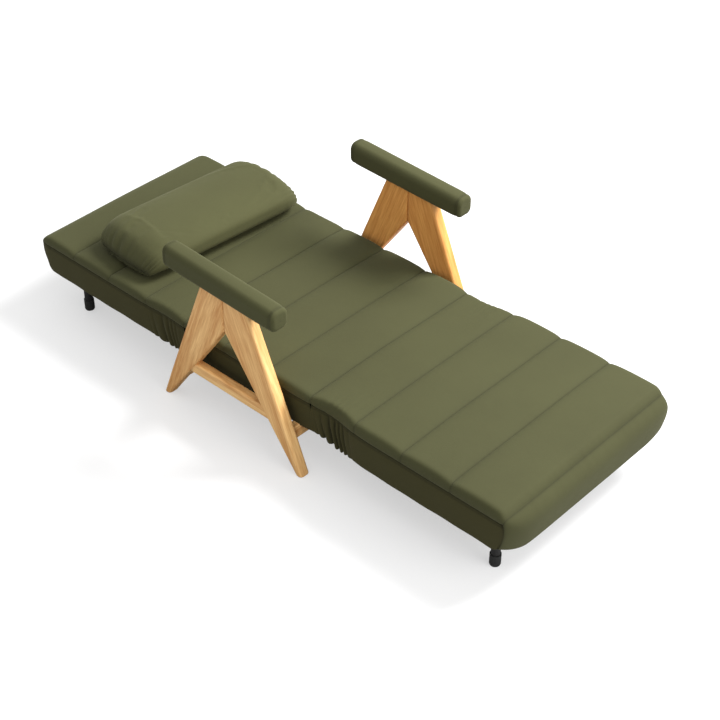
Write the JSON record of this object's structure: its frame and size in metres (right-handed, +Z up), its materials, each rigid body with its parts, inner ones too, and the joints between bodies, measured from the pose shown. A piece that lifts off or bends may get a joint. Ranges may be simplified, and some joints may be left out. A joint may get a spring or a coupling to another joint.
{
  "type": "futon sofa bed",
  "caption": "Convertible futon sofa bed lying flat: channelled velvet mattress in folding sections on a steel frame, wooden A-frame arms, folding end legs and a loose pillow.",
  "frame": {"origin": "on the floor, at the middle of the whole length and width", "axes": "+Z up, +Y towards the head end, +X to the right when looking from the foot end towards the head"},
  "size_m": [0.87, 2.006, 0.59],
  "materials": {
    "cover_fabric": "matte",
    "frame_wood": "satin",
    "slat_wood": "matte",
    "black_steel": "satin",
    "zinc_steel": "satin",
    "black_plastic": "matte"
  },
  "bodies": {
    "base": {"left_rear_leg": "frame_wood", "left_front_leg": "frame_wood", "left_stretcher": "frame_wood", "left_armrest": "cover_fabric", "right_rear_leg": "frame_wood", "right_front_leg": "frame_wood", "right_stretcher": "frame_wood", "right_armrest": "cover_fabric", "front_rail": "frame_wood", "rear_rail": "frame_wood", "seat_frame_side_tube_left": "black_steel", "seat_frame_side_tube_right": "black_steel", "seat_frame_cross_tube_front": "black_steel", "seat_frame_cross_tube_rear": "black_steel", "seat_slat_1": "slat_wood", "seat_slat_2": "slat_wood", "seat_slat_3": "slat_wood", "seat_cushion": "cover_fabric", "back_hinge_fixed_plate_left": "zinc_steel", "back_hinge_fixed_plate_right": "zinc_steel", "back_hinge_pin_left": "zinc_steel", "back_hinge_pin_right": "zinc_steel", "foot_hinge_fixed_plate_left": "zinc_steel", "foot_hinge_fixed_plate_right": "zinc_steel", "foot_hinge_pin_left": "zinc_steel", "foot_hinge_pin_right": "zinc_steel"},
    "back": {"back_cushion": "cover_fabric", "back_frame_side_tube_left": "black_steel", "back_frame_side_tube_right": "black_steel", "back_frame_cross_tube_inner": "black_steel", "back_frame_cross_tube_end": "black_steel", "back_slat_1": "slat_wood", "back_slat_2": "slat_wood", "back_hinge_swing_plate_left": "zinc_steel", "back_hinge_swing_plate_right": "zinc_steel", "back_leg_bracket_left": "black_steel", "back_leg_bracket_right": "black_steel"},
    "foot": {"foot_cushion": "cover_fabric", "foot_frame_side_tube_left": "black_steel", "foot_frame_side_tube_right": "black_steel", "foot_frame_cross_tube_inner": "black_steel", "foot_frame_cross_tube_end": "black_steel", "foot_slat_1": "slat_wood", "foot_slat_2": "slat_wood", "foot_hinge_swing_plate_left": "zinc_steel", "foot_hinge_swing_plate_right": "zinc_steel", "foot_leg_bracket_left": "black_steel", "foot_leg_bracket_right": "black_steel"},
    "back_legs": {"back_leg_pivot_bar": "black_steel", "back_leg_post_left": "black_steel", "back_leg_post_right": "black_steel", "back_leg_cap_left": "black_plastic", "back_leg_cap_right": "black_plastic"},
    "foot_legs": {"foot_leg_pivot_bar": "black_steel", "foot_leg_post_left": "black_steel", "foot_leg_post_right": "black_steel", "foot_leg_cap_left": "black_plastic", "foot_leg_cap_right": "black_plastic"},
    "pillow": {"pillow": "cover_fabric"}
  },
  "joints": [
    {"name": "back_hinge", "type": "hinge", "parent": "base", "child": "back", "pos_m": [0, 0.379, 0.256], "axis": [1, 0, 0], "range_deg": [0, 72]},
    {"name": "foot_hinge", "type": "hinge", "parent": "base", "child": "foot", "pos_m": [0, -0.341, 0.256], "axis": [-1, 0, 0], "range_deg": [0, 180]},
    {"name": "foot_leg_fold", "type": "hinge", "parent": "foot", "child": "foot_legs", "pos_m": [0, -0.909, 0.122], "axis": [1, 0, 0], "range_deg": [0, 90]},
    {"name": "back_leg_fold", "type": "hinge", "parent": "back", "child": "back_legs", "pos_m": [0, 0.857, 0.122], "axis": [-1, 0, 0], "range_deg": [0, 90]},
    {"name": "pillow_slide", "type": "slide", "parent": "back", "child": "pillow", "axis": [0, 1, 0], "range_m": [0, 0.15]}
  ]
}
